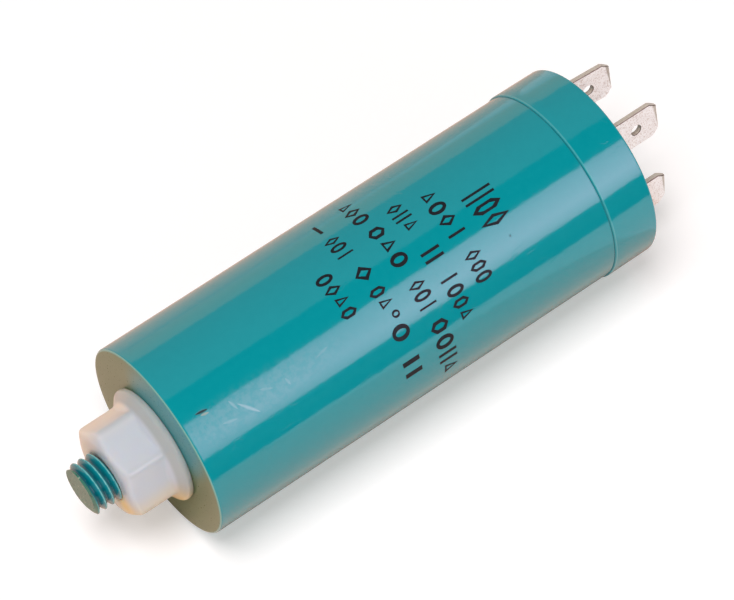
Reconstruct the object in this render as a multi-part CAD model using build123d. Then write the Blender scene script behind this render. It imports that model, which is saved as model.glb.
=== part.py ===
"""Motor run capacitor: a moulded can with a threaded stud, a flanged nut, a press-on lid and
two double blade terminals, with the wound film element potted inside.

The axis of the can is X.  The origin is the centre of the mounting shoulder, the flat end that
is pulled against a chassis.  The stud points to -X and the blades to +X.  All sizes are in mm.
"""
from build123d import *
import math
import os

# Housing
body_radius = 15.0
body_length = 69.3          # mounting shoulder to the seam under the lid
wall = 1.9
floor_thickness = 3.0
shoulder_edge_radius = 0.4
cavity_fillet = 0.8
rim_rebate = 1.0            # how far the rim steps in under the lid's skirt
seam_chamfer = 0.2

# Stud, an M8 x 1.25 thread drawn at its major diameter
stud_radius = 3.9
stud_length = 12.9
stud_root_fillet = 0.3
stud_tip_chamfer = 0.25

# Lid
lid_height = 7.6
lid_overhang = 0.25         # how far the skirt's lower edge stands proud of the can
lid_taper = 0.05            # how much smaller the lid's end is than its lower edge
lid_plate = 2.2
lid_edge_radius = 0.35
lid_skirt_edge = 0.25
lid_recess_depth = 0.8
lid_rim_width = 1.2
lid_fit = 0.05
plug_ring_depth = 2.0
plug_ring_wall = 1.2

# Flanged nut
nut_across_flats = 13.5
nut_height = 8.7
nut_turn = 10.0
nut_corner_radius = 1.1
nut_face_radius = 5.9
nut_dome_drop = 0.8
flange_radius = 8.95
flange_rim = 1.0
flange_height = 2.6
flange_edge_radius = 0.45
nut_bore_clearance = 0.03
nut_countersink = 0.4       # at the shoulder, clear of the stud's root fillet
nut_mouth_chamfer = 0.15

# Double blade terminals, 6.3 mm series
blade_width = 6.3
blade_thickness = 0.8
blade_rise = 9.3            # lid recess to the tip of a blade
blade_spread = 11.2         # between the middle planes of one terminal's two blades
blade_bend_radius = 1.1     # at the middle of the sheet
blade_lean = 3.4            # degrees by which one blade stands off square
tip_chamfer_length = 1.3
tip_chamfer_width = 0.95
tip_bevel_length = 0.7
tip_bevel_angle = 14.0
blade_hole_radius = 0.85
blade_hole_from_tip = 4.0
terminal_line_turn = -12.7  # turn of the line through both rivets, about X
terminal_a_inset = 6.35     # wall of the lid's recess to the middle of a terminal
terminal_b_inset = 7.8
terminal_b_turn = 6.0       # how far the second terminal is turned on its rivet

# Rivets and inner lugs
rivet_radius = 1.5
rivet_clearance = 0.03
rivet_head_radius = 2.7
rivet_head_height = 0.8
rivet_head_round = 0.64
rivet_tail_radius = 2.3
rivet_tail_height = 0.6
lug_thickness = 0.5
lug_width = 5.0
lug_reach = 4.2             # rivet to crimp barrel
barrel_wall = 0.5
barrel_length = 3.2
crimp_clearance = 0.02

# Wound element and what holds it
pad_thickness = 2.4
pad_clearance = 0.15
pad_slot_width = 2.8
core_radius = 3.0
core_wall = 1.0
winding_gap = 1.6           # round the element, room for the long lead
element_headroom = 12.7     # over the element, room for the leads' bends
spray_thickness = 0.6
resin_cover = 2.8

# Leads and their solder
lead_radius = 0.6
lead_bend = 1.0
solder_radius = 1.2
solder_height = 0.5
solder_lip = 0.1            # thickness of the cone where it ends on the wire
lead_a_solder_offset = 6.2
lead_b_solder_offset = 8.0

# Places that follow from the sizes above
cavity_radius = body_radius - wall
rim_radius = body_radius - rim_rebate
lid_seam_radius = body_radius + lid_overhang
lid_end_radius = lid_seam_radius - lid_taper
lid_end = body_length + lid_height
recess_radius = lid_end_radius - lid_rim_width
recess_floor = lid_end - lid_recess_depth
plate_underside = lid_end - lid_plate - lid_recess_depth
pad_top = floor_thickness + pad_thickness
lower_film = pad_top + spray_thickness
element_top = plate_underside - element_headroom
upper_film = element_top - spray_thickness
winding_radius = cavity_radius - winding_gap
resin_level = element_top + resin_cover
strap_top = recess_floor + blade_thickness
terminal_a_offset = recess_radius - terminal_a_inset
terminal_b_offset = recess_radius - terminal_b_inset
lug_underside = plate_underside - lug_thickness
lead_lane_radius = (winding_radius + cavity_radius) / 2
lead_lane_x = pad_top - solder_height - lead_bend
barrel_radius = lead_radius + crimp_clearance + barrel_wall


def turned(outline):
    """A solid of revolution about X from (x, radius) corners."""
    return revolve(make_face(Polyline(*outline, close=True)), Axis.X)


def rod(x_start, x_end, radius):
    """A plain round bar along X."""
    return Pos(x_start, 0, 0) * extrude(Plane.YZ * Circle(radius), amount=x_end - x_start)


def tube(x_start, x_end, outer, inner):
    return rod(x_start, x_end, outer) - rod(x_start, x_end, inner)


def across(turn, offset):
    """Place in the lid's plane: offset along Z, then turned about X."""
    return Rot(turn, 0, 0) * Pos(0, 0, offset)


def rims_at(solid, x, radius):
    """The round edges of a solid that lie at x and have the given radius."""
    rings = solid.edges().filter_by(GeomType.CIRCLE)
    return rings.filter_by(lambda e: abs(e.center().X - x) < 1e-3 and abs(e.radius - radius) < 1e-3)


def housing():
    """Can, rebated rim and stud, moulded in one."""
    rim_end = plate_underside - lid_fit
    can = rod(0, body_length, body_radius) + rod(body_length, rim_end, rim_radius)
    can = chamfer(rims_at(can, body_length, body_radius), seam_chamfer)
    can = fillet(rims_at(can, 0, body_radius), shoulder_edge_radius)
    cavity = rod(floor_thickness, rim_end, cavity_radius)
    cavity = fillet(rims_at(cavity, floor_thickness, cavity_radius), cavity_fillet)
    can = can - cavity + rod(-stud_length, 0, stud_radius)
    can = fillet(rims_at(can, 0, stud_radius), stud_root_fillet)
    return chamfer(rims_at(can, -stud_length, stud_radius), stud_tip_chamfer)


def lid():
    """Cap with a tapered skirt over the rim, a plug ring inside it and a shallow recessed face."""
    cap = turned([(body_length, 0), (body_length, lid_seam_radius), (lid_end, lid_end_radius), (lid_end, 0)])
    cap = fillet(rims_at(cap, lid_end, lid_end_radius), lid_edge_radius)
    cap = fillet(rims_at(cap, body_length, lid_seam_radius), lid_skirt_edge)
    cap -= rod(recess_floor, lid_end, recess_radius)
    cap -= rod(body_length, plate_underside, rim_radius + lid_fit)
    plug_radius = cavity_radius - lid_fit
    cap += tube(plate_underside - plug_ring_depth, plate_underside, plug_radius, plug_radius - plug_ring_wall)
    for place in rivet_places():
        cap -= place * rod(plate_underside, recess_floor, rivet_radius + rivet_clearance)
    return cap


def mounting_nut():
    """Hexagon nut with a conical flange and a domed outer face."""
    corner_radius = nut_across_flats / math.sqrt(3)
    hexagon = Plane.YZ * (Rot(0, 0, nut_turn) * RegularPolygon(corner_radius, 6))
    hexagon = fillet(hexagon.vertices(), nut_corner_radius)
    body = extrude(hexagon, amount=-nut_height)
    body &= turned([
        (0, 0),
        (0, flange_radius),
        (nut_dome_drop - nut_height, corner_radius),
        (-nut_height, nut_face_radius),
        (-nut_height, 0),
    ])
    flange = turned([
        (0, 0),
        (0, flange_radius),
        (-flange_rim, flange_radius),
        (-flange_height, nut_across_flats / 2),
        (-flange_height, 0),
    ])
    flange = fillet(rims_at(flange, 0, flange_radius), flange_edge_radius)
    flange = fillet(rims_at(flange, -flange_rim, flange_radius), flange_edge_radius)
    bore_radius = stud_radius + nut_bore_clearance
    nut = body + flange - rod(-nut_height, 0, bore_radius)
    nut = chamfer(rims_at(nut, 0, bore_radius), nut_countersink)
    return chamfer(rims_at(nut, -nut_height, bore_radius), nut_mouth_chamfer)


def bevelled(terminal):
    """Terminal with its two blade tips thinned towards the end, on both broad faces."""
    for side in (-1, 1):
        for lean_side in (-1, 1):
            broad = terminal.faces().filter_by(lambda f: abs(f.normal_at().Y) > 0.9)
            broad = broad.filter_by(lambda f: f.center().Y * side > 0 and f.normal_at().Y * lean_side > 0)
            face = broad.sort_by(Axis.X)[-1]
            edge = face.edges().filter_by(Axis.Z).sort_by(Axis.X)[-1]
            terminal = chamfer(edge, tip_bevel_length, angle=tip_bevel_angle, reference=face)
    return terminal


def double_blade(lean):
    """One strip bent into two blades joined by a strap that lies on the lid."""
    middle = recess_floor + blade_thickness / 2
    tip_x = recess_floor + blade_rise
    half = blade_spread / 2
    drift = (tip_x - middle) * math.tan(math.radians(lean))
    path = FilletPolyline(
        (tip_x, half - drift),
        (middle, half),
        (middle, -half),
        (tip_x, -half),
        radius=blade_bend_radius,
    )
    section = Plane(path @ 0, x_dir=(0, 0, 1), z_dir=path % 0) * Rectangle(blade_width, blade_thickness)
    strip = sweep(section, path)
    chamfer_start = tip_x - tip_chamfer_length
    edge = blade_width / 2
    side_view = Plane.XZ * make_face(Polyline(
        (recess_floor, -edge),
        (chamfer_start, -edge),
        (tip_x, tip_chamfer_width - edge),
        (tip_x, edge - tip_chamfer_width),
        (chamfer_start, edge),
        (recess_floor, edge),
        close=True,
    ))
    strip &= extrude(side_view, amount=blade_spread, both=True)
    hole = Pos(tip_x - blade_hole_from_tip, 0, 0) * extrude(
        Plane.XZ * Circle(blade_hole_radius), amount=blade_spread, both=True)
    strip = bevelled(strip) - hole
    return strip - rod(recess_floor, strap_top, rivet_radius + rivet_clearance)


def rivet():
    """Rivet from the strap's top, through lid and lug, with its tail spread under the lug."""
    head_top = strap_top + rivet_head_height
    tail_end = lug_underside - rivet_tail_height
    shank = rod(tail_end, strap_top, rivet_radius)
    head = rod(strap_top, head_top, rivet_head_radius)
    head = fillet(rims_at(head, head_top, rivet_head_radius), rivet_head_round)
    tail = rod(tail_end, lug_underside, rivet_tail_radius)
    tail = chamfer(rims_at(tail, tail_end, rivet_tail_radius), rivet_tail_height / 2)
    return shank + head + tail


def inner_lug():
    """Flat tag under the lid, riveted at one end, with a crimp barrel at the other."""
    outline = Plane.YZ * SlotCenterToCenter(lug_reach, lug_width)
    tag = Pos(lug_underside, lug_reach / 2, 0) * extrude(outline, amount=lug_thickness)
    tag += Pos(0, lug_reach, 0) * rod(lug_underside - barrel_length, lug_underside, barrel_radius)
    tag -= Pos(0, lug_reach, 0) * rod(lug_underside - barrel_length, lug_underside, lead_radius + crimp_clearance)
    return tag - rod(lug_underside, plate_underside, rivet_radius + rivet_clearance)


def rivet_places():
    """Where the two rivets stand, terminal a first."""
    place_a = across(terminal_line_turn, terminal_a_offset)
    place_b = across(terminal_line_turn, -terminal_b_offset) * Rot(terminal_b_turn, 0, 0)
    return place_a, place_b


def barrel_seat(place):
    """Radius and angle, about X, at which a lug's crimp barrel hangs."""
    spot = (place * Pos(0, lug_reach, 0)).position
    return math.hypot(spot.Y, spot.Z), math.degrees(math.atan2(spot.Z, spot.Y))


def lead(corners, turn):
    """Insulated wire through (x, radius) corners in the half plane at the given turn."""
    path = FilletPolyline(*corners, radius=lead_bend)
    section = Plane(path @ 0, z_dir=path % 0) * Circle(lead_radius)
    return Rot(turn, 0, 0) * sweep(section, path)


def short_lead(place):
    """From the upper end face straight up, then out to its barrel."""
    seat_radius, turn = barrel_seat(place)
    barrel_mouth = lug_underside - barrel_length
    return lead([
        (element_top, lead_a_solder_offset),
        (resin_level + lead_bend, lead_a_solder_offset),
        (barrel_mouth - lead_bend, seat_radius),
        (lug_underside, seat_radius),
    ], turn)


def long_lead(place):
    """From under the lower end face, out to the wall, up beside the winding and in to its barrel."""
    seat_radius, turn = barrel_seat(place)
    barrel_mouth = lug_underside - barrel_length
    return lead([
        (pad_top, lead_b_solder_offset),
        (lead_lane_x, lead_b_solder_offset),
        (lead_lane_x, lead_lane_radius),
        (resin_level + lead_bend, lead_lane_radius),
        (barrel_mouth - lead_bend, seat_radius),
        (lug_underside, seat_radius),
    ], turn)


def solder_cone(face_x, height, offset, turn):
    """Low cone of solder round a wire on an end face; a negative height hangs below it."""
    cone = turned([
        (face_x, lead_radius),
        (face_x, solder_radius),
        (face_x + height, lead_radius + solder_lip),
        (face_x + height, lead_radius),
    ])
    return Rot(turn, 0, 0) * Pos(0, offset, 0) * cone


def base_pad(slot_turn):
    """Insulating pad under the element, slotted for the long lead."""
    pad = rod(floor_thickness, pad_top, cavity_radius - pad_clearance)
    pad = chamfer(rims_at(pad, floor_thickness, cavity_radius - pad_clearance), cavity_fillet)
    slot_start = lead_b_solder_offset - pad_slot_width / 2
    slot_length = cavity_radius - slot_start
    slot = Pos(floor_thickness, slot_start, 0) * Box(
        pad_thickness, slot_length, pad_slot_width, align=(Align.MIN, Align.MIN, Align.CENTER))
    return pad - Rot(slot_turn, 0, 0) * slot


def potting_resin(wires, solder):
    """Resin that fills the can round the element, its core tube and a layer over it."""
    fill = rod(pad_top, resin_level, cavity_radius) - rod(pad_top, element_top, winding_radius)
    fill += rod(pad_top, element_top, core_radius - core_wall)
    return fill - wires - solder


def capacitor():
    """Every piece by its node name."""
    place_a, place_b = rivet_places()
    turn_a = barrel_seat(place_a)[1]
    turn_b = barrel_seat(place_b)[1]
    lead_a = short_lead(place_a)
    lead_b = long_lead(place_b)
    solder_a = solder_cone(element_top, solder_height, lead_a_solder_offset, turn_a)
    solder_b = solder_cone(pad_top, -solder_height, lead_b_solder_offset, turn_b)
    return {
        "housing": housing(),
        "lid": lid(),
        "mounting_nut": mounting_nut(),
        "terminal_a": place_a * double_blade(blade_lean),
        "terminal_b": place_b * double_blade(0),
        "rivet_a": place_a * rivet(),
        "rivet_b": place_b * rivet(),
        "inner_lug_a": place_a * inner_lug(),
        "inner_lug_b": place_b * inner_lug(),
        "lead_a": lead_a,
        "lead_b": lead_b,
        "solder_joints": Compound(children=[solder_a, solder_b]),
        "base_pad": base_pad(turn_b),
        "winding_core": tube(pad_top, element_top, core_radius, core_radius - core_wall),
        "film_winding": tube(lower_film, upper_film, winding_radius, core_radius),
        "lower_end_spray": tube(pad_top, lower_film, winding_radius, core_radius),
        "upper_end_spray": tube(upper_film, element_top, winding_radius, core_radius),
        "potting_resin": potting_resin(lead_a + lead_b, solder_a),
    }


os.makedirs("parts", exist_ok=True)
for name, piece in capacitor().items():
    export_step(piece, f"parts/{name}.step")
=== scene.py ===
import bmesh
import bpy
import math
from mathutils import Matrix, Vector
from mathutils.bvhtree import BVHTree


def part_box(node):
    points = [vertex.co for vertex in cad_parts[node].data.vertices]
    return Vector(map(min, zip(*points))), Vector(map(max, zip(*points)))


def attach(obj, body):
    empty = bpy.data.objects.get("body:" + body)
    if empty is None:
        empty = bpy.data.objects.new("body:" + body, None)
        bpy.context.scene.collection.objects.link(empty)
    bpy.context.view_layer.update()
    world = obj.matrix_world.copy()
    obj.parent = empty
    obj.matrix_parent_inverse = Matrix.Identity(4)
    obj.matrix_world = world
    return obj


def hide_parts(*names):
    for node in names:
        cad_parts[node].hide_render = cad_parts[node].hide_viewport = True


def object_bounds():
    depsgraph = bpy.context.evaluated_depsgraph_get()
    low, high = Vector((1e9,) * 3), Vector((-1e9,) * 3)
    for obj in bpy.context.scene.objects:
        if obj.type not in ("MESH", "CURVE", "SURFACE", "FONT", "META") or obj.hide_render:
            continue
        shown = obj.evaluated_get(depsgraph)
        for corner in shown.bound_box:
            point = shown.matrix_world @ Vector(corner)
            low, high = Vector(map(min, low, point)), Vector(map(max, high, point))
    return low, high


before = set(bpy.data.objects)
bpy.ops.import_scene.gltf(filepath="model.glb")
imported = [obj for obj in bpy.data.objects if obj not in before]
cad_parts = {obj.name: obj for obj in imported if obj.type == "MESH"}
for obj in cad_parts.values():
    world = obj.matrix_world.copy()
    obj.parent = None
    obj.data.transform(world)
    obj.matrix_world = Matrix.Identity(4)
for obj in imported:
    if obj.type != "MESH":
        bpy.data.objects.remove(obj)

cad_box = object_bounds()
MM = 0.001


# ---- Table, lamps and camera ---------------------------------------------------------------
# The capacitor lies on a white table under one long soft box, which draws the bright band
# along the can.  A black board and a black sheet give that band its two dark borders.

def add_node(tree, kind, inputs=None, **settings):
    """Adds a node; an input given as a socket is linked, any other value is set."""
    node = tree.nodes.new(kind)
    for name, value in settings.items():
        setattr(node, name, value)
    for name, value in (inputs or {}).items():
        if isinstance(value, bpy.types.NodeSocket):
            tree.links.new(value, node.inputs[name])
        else:
            node.inputs[name].default_value = value
    return node


def place_mask(tree, value, low, high):
    """1 where the value is under low, falling to 0 at high."""
    return add_node(tree, "ShaderNodeMapRange", {"Value": value, "From Min": low, "From Max": high,
                                                 "To Min": 1.0, "To Max": 0.0},
                    interpolation_type="SMOOTHSTEP").outputs[0]


def maths(tree, operation, first, second=0.0):
    return add_node(tree, "ShaderNodeMath", {0: first, 1: second}, operation=operation).outputs[0]


def ramp(tree, value, factor, start):
    """The value times a factor, added to what it starts from."""
    return maths(tree, "ADD", maths(tree, "MULTIPLY", value, factor), start)


def flat_mesh(name, corners):
    """An object of one four-sided face."""
    mesh = bpy.data.meshes.new(name)
    mesh.from_pydata(corners, [], [(0, 1, 2, 3)])
    piece = bpy.data.objects.new(name, mesh)
    bpy.context.scene.collection.objects.link(piece)
    return piece


def empty_material(name):
    material = bpy.data.materials.new(name)
    material.use_nodes = True
    material.node_tree.nodes.clear()
    return material, material.node_tree


def show(tree, shader):
    """Makes a shader the surface of its material."""
    add_node(tree, "ShaderNodeOutputMaterial", {"Surface": shader.outputs[0]})


TABLE_REACH = 4.0
TABLE_WHITE = (0.72, 0.695, 0.72, 1)
TABLE_GLOW = (0.385, 0.368, 0.346, 1)
table_z = cad_box[0].z
table = flat_mesh("table", [
    (-TABLE_REACH, -TABLE_REACH, table_z), (TABLE_REACH, -TABLE_REACH, table_z),
    (TABLE_REACH, TABLE_REACH, table_z), (-TABLE_REACH, TABLE_REACH, table_z)])
material, tree = empty_material("table_white")
rays = add_node(tree, "ShaderNodeLightPath").outputs
seen = maths(tree, "MAXIMUM", rays["Is Camera Ray"], rays["Is Glossy Ray"])
seen = maths(tree, "MAXIMUM", seen, rays["Is Transmission Ray"])
paint = add_node(tree, "ShaderNodeBsdfDiffuse", {"Color": TABLE_WHITE})
light = add_node(tree, "ShaderNodeEmission", {"Color": TABLE_GLOW, "Strength": seen})
show(tree, add_node(tree, "ShaderNodeAddShader", {0: paint.outputs[0], 1: light.outputs[0]}))
table.data.materials.append(material)

WORLD_LEVEL, WORLD_WHITE = 0.3, (1.0, 0.995, 0.98, 1)
world = bpy.data.worlds.new("studio")
bpy.context.scene.world = world
world.use_nodes = True
world.node_tree.nodes["Background"].inputs["Color"].default_value = WORLD_WHITE
world.node_tree.nodes["Background"].inputs["Strength"].default_value = WORLD_LEVEL

CAN_MIDDLE = Vector((0.035, 0.0, 0.0))
WATTS_PER_RADIANCE = 4      # for each square metre of an area lamp


def beside_can(angle, distance, shift):
    """A place at an angle about the can's axis, from +Y towards +Z, and a shift along it."""
    turn = math.radians(angle)
    return CAN_MIDDLE + Vector((shift, distance * math.cos(turn), distance * math.sin(turn)))


def soft_lamp(name, angle, distance, shift, length, width, radiance, colour):
    """An area lamp that faces the can's axis, with its length along the can."""
    data = bpy.data.lights.new(name, "AREA")
    data.shape = "RECTANGLE"
    data.size = length
    data.size_y = width
    data.energy = radiance * WATTS_PER_RADIANCE * length * width
    data.color = colour
    lamp = bpy.data.objects.new(name, data)
    lamp.location = beside_can(angle, distance, shift)
    turn = math.radians(angle)
    lamp.rotation_euler = (turn - math.pi / 2, 0, 0)
    bpy.context.scene.collection.objects.link(lamp)
    return lamp


BOX_DISTANCE = 1.14
BOX_ANGLE = 136.8
BOX_HALF_SPREAD = 22.0
BOX_PINK, GLOW_ORANGE, LAMP_WHITE = (0.98, 0.76, 1.0), (1.0, 0.45, 0.05), (1.0, 0.99, 0.97)
box_width = 2 * BOX_DISTANCE * math.tan(math.radians(BOX_HALF_SPREAD))
soft_box = soft_lamp("soft_box", BOX_ANGLE, BOX_DISTANCE, shift=0.4, length=1.0, width=box_width,
                     radiance=2.75, colour=BOX_PINK)
soft_box.visible_diffuse = False
# The soft box is brightest two thirds of the way across.  Its end nearer the camera is dimmer,
# with a dark strip along one edge.
NEAR_END = (0.38, 0.54)     # shares of its length
RISE, FALL = (0.67, 0.62), (-1.12, 1.82)    # factors and starts, across it
DARK_STRIP, NEAR_LOSS = 0.05, 0.3
soft_box.data.use_nodes = True
tree = soft_box.data.node_tree
along, across, _ = add_node(tree, "ShaderNodeSeparateXYZ", {
    0: add_node(tree, "ShaderNodeNewGeometry").outputs["Parametric"]}).outputs
near_end = place_mask(tree, along, *NEAR_END)
across = maths(tree, "SUBTRACT", 1.0, across)
ridge = maths(tree, "MINIMUM", ramp(tree, across, *RISE), ramp(tree, across, *FALL))
lit = maths(tree, "GREATER_THAN", across, maths(tree, "MULTIPLY", near_end, DARK_STRIP))
level = maths(tree, "MULTIPLY", maths(tree, "MULTIPLY", ridge, lit),
              maths(tree, "SUBTRACT", 1.0, maths(tree, "MULTIPLY", near_end, NEAR_LOSS)))
tree.links.new(level, tree.nodes["Emission"].inputs["Strength"])
far_glow = soft_lamp("far_glow", angle=9.5, distance=1.3, shift=0.4, length=1.6, width=0.6,
                     radiance=0.45, colour=GLOW_ORANGE)
far_glow.visible_diffuse = False
top_lamp = soft_lamp("top_lamp", angle=95.0, distance=1.1, shift=-0.3, length=0.5, width=0.5,
                     radiance=9.7, colour=LAMP_WHITE)
top_lamp.visible_glossy = False
side_lamp = soft_lamp("side_lamp", angle=170.0, distance=1.1, shift=0.0, length=1.2, width=0.3,
                      radiance=2.1, colour=LAMP_WHITE)
side_lamp.visible_glossy = False

# Only glossy surfaces see these three: a black board behind the soft box and a black sheet on
# the table darken the borders of the band, and a beige card warms the can's grazing sides.
BOARD_DISTANCE = 1.3
BOARD_FROM, BOARD_TO = 84.0, 183.0
BOARD_NEAR, BOARD_FAR = -1.4, 1.9
SHEET_CORNERS = ((-1.5, -4.0), (2.0, -4.0), (2.0, -0.22), (-1.5, -0.22))
SHEET_LIFT, CARD_LIFT = 0.2, 0.1
BLACK, CARD_BEIGE = (0, 0, 0, 1), (0.96, 0.65, 0.51, 1)
CARD_CORNERS = ((-1.5, -1.5), (-0.21, -1.5), (0.39, 1.5), (-1.5, 1.5))
board_corners = []
for angle, ends in ((BOARD_FROM, (BOARD_NEAR, BOARD_FAR)), (BOARD_TO, (BOARD_FAR, BOARD_NEAR))):
    reach = BOARD_DISTANCE / math.cos(math.radians(angle - BOX_ANGLE))
    board_corners += [beside_can(angle, reach, end) for end in ends]
board = flat_mesh("black_board", board_corners)
sheet = flat_mesh("black_sheet", [(x, y, table_z + SHEET_LIFT * MM) for x, y in SHEET_CORNERS])
card = flat_mesh("beige_card", [(x, y, table_z + CARD_LIFT * MM) for x, y in CARD_CORNERS])
for piece, colour in ((board, BLACK), (sheet, BLACK), (card, CARD_BEIGE)):
    material, tree = empty_material(piece.name + "_paint")
    show(tree, add_node(tree, "ShaderNodeBsdfDiffuse", {"Color": colour}))
    piece.data.materials.append(material)
    piece.visible_camera = False
    piece.visible_diffuse = False
    piece.visible_shadow = False
    piece.visible_transmission = False

CAMERA_PLACE = Vector((-0.139007, -0.231024, 0.479972))
CAMERA_AIM = Vector((0.0370236, 0.0007471, 0.0))
camera_data = bpy.data.cameras.new("camera")
camera_data.lens = 194.95
camera_data.sensor_width = 36.0
camera_data.clip_start = 0.01
camera = bpy.data.objects.new("camera", camera_data)
camera.location = CAMERA_PLACE
camera.rotation_euler = (CAMERA_AIM - CAMERA_PLACE).to_track_quat("-Z", "Y").to_euler()
bpy.context.scene.collection.objects.link(camera)
bpy.context.scene.camera = camera
bpy.context.scene.view_settings.view_transform = "Standard"


# ---- Housing -------------------------------------------------------------------------------
# A deep can with its mounting stud, moulded in one from glossy teal plastic.  The stud carries
# a coarse moulded M8 thread; the rim steps in under the lid, and the can is open at that end.

def grow_mesh(name, material):
    """A new empty object with its material, ready for a mesh."""
    mesh = bpy.data.meshes.new(name)
    mesh.materials.append(material)
    piece = bpy.data.objects.new(name, mesh)
    bpy.context.scene.collection.objects.link(piece)
    return piece


def smooth_by_angle(shape, degrees):
    """Smooth shading, with the edges sharper than the angle left crisp."""
    for face in shape.faces:
        face.smooth = True
    for edge in shape.edges:
        edge.smooth = not (edge.is_manifold and edge.calc_face_angle(0) > math.radians(degrees))


def turn_outline(piece, outline, segments, crisp):
    """Spins an outline of (x, radius) points, in mm, about X into the piece's mesh."""
    shape = bmesh.new()
    rings = []
    for x, radius in outline:
        if radius == 0:
            rings.append([shape.verts.new((x * MM, 0, 0))])
            continue
        turns = [2 * math.pi * i / segments for i in range(segments)]
        rings.append([shape.verts.new((x * MM, radius * MM * math.cos(t), radius * MM * math.sin(t)))
                      for t in turns])
    for before, after in zip(rings, rings[1:]):
        for i in range(segments):
            j = (i + 1) % segments
            corners = [before[i % len(before)], after[i % len(after)],
                       after[j % len(after)], before[j % len(before)]]
            shape.faces.new(list(dict.fromkeys(corners)))
    bmesh.ops.recalc_face_normals(shape, faces=shape.faces)
    smooth_by_angle(shape, crisp)
    shape.to_mesh(piece.data)
    shape.free()


def rounded(centre_x, centre_radius, size, from_turn, steps=5):
    """Quarter round of an outline about a centre, as (x, radius) points."""
    turns = [math.radians(from_turn + 90 * i / steps) for i in range(steps + 1)]
    return [(centre_x + size * math.cos(t), centre_radius + size * math.sin(t)) for t in turns]


def spaced(start, end, count):
    return [start + (end - start) * i / count for i in range(count + 1)]


TEAL = (0.0, 0.275, 0.325, 1)
TEAL_PALE = (0.003, 0.30, 0.35, 1)
GROOVE_PAINTED_SHADE = (0.0, 0.10, 0.135, 1)
KHAKI_PAINTED_REFLECTION = (0.17, 0.19, 0.06, 1)
EDGE_PAINTED_HIGHLIGHT = (0.20, 0.43, 0.37, 1)
CREST_PAINTED_HIGHLIGHT = (0.20, 0.52, 0.52, 1)
HIGHLIGHT_FLECK_PALE = (0.30, 0.46, 0.52, 1)
LIP_PAINTED_HIGHLIGHT = (0.12, 0.46, 0.48, 1)
SCUFF_WHITE = (0.75, 0.78, 0.88, 1)
NICK_DARK = (0.022, 0.035, 0.038, 1)
BURR_TAN = (0.50, 0.42, 0.30, 1)
GRAZE_TAN = (0.80, 0.46, 0.32, 1)


def mixed(tree, share, first, second):
    """Colour mix by a share."""
    node = tree.nodes.new("ShaderNodeMix")
    node.data_type = "RGBA"
    for index, value in ((0, share), (6, first), (7, second)):
        if isinstance(value, bpy.types.NodeSocket):
            tree.links.new(value, node.inputs[index])
        else:
            node.inputs[index].default_value = value
    return node.outputs[2]


def past_mask(tree, value, low, high):
    """0 where the value is under low, rising to 1 at high."""
    return maths(tree, "SUBTRACT", 1.0, place_mask(tree, value, low, high))


def graded(tree, value, low, high, start=0.0, end=1.0):
    """The start where the value is under low, going straight to the end at high."""
    return add_node(tree, "ShaderNodeMapRange", {"Value": value, "From Min": low, "From Max": high,
                                                 "To Min": start, "To Max": end}).outputs[0]


def noise(tree, where, scale, detail):
    return add_node(tree, "ShaderNodeTexNoise", {"Vector": where, "Scale": scale,
                                                 "Detail": detail}).outputs[0]


def vector_maths(tree, operation, first, second=(0, 0, 0)):
    node = add_node(tree, "ShaderNodeVectorMath", {0: first, 1: second}, operation=operation)
    return node.outputs["Value" if operation in ("DOT_PRODUCT", "LENGTH") else "Vector"]


def from_axis(tree, y, z):
    """How far a place is from the can's axis."""
    flat = add_node(tree, "ShaderNodeCombineXYZ", {1: y, 2: z}).outputs[0]
    return vector_maths(tree, "LENGTH", flat)


def bumped(tree, height, strength, distance):
    return add_node(tree, "ShaderNodeBump", {"Height": height, "Strength": strength,
                                             "Distance": distance}).outputs[0]


NUMBER, VECTOR, COLOUR = "NodeSocketFloat", "NodeSocketVector", "NodeSocketColor"
GEOMETRY, MATERIAL = "NodeSocketGeometry", "NodeSocketMaterial"


def new_group(name, inputs, outputs, kind="ShaderNodeTree"):
    """A node group with named inputs and outputs."""
    group = bpy.data.node_groups.new(name, kind)
    for way, sockets in (("INPUT", inputs), ("OUTPUT", outputs)):
        for label, socket_kind in sockets.items():
            group.interface.new_socket(label, in_out=way, socket_type=socket_kind)
    return group, group.nodes.new("NodeGroupInput"), group.nodes.new("NodeGroupOutput")


# Moulded skin: slow cloudy colour and a fine orange peel.
skin_group, given, made = new_group("moulded_skin", {
    "Vector": VECTOR, "Colour": COLOUR, "Pale": COLOUR, "Cloud Scale": NUMBER, "Peel Scale": NUMBER,
    "Roughness": NUMBER, "Roughness Swing": NUMBER},
    {"Colour": COLOUR, "Roughness": NUMBER, "Height": NUMBER})
PEEL_HEIGHT = 0.25          # share of the clouds' height
cloud = noise(skin_group, given.outputs["Vector"], given.outputs["Cloud Scale"], detail=4.0)
peel = noise(skin_group, given.outputs["Vector"], given.outputs["Peel Scale"], detail=2.0)
skin_group.links.new(mixed(skin_group, cloud, given.outputs["Colour"], given.outputs["Pale"]),
                     made.inputs["Colour"])
swing = maths(skin_group, "MULTIPLY", maths(skin_group, "SUBTRACT", peel, 0.5),
              given.outputs["Roughness Swing"])
skin_group.links.new(maths(skin_group, "ADD", swing, given.outputs["Roughness"]), made.inputs["Roughness"])
skin_group.links.new(ramp(skin_group, peel, PEEL_HEIGHT, cloud), made.inputs["Height"])

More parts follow.
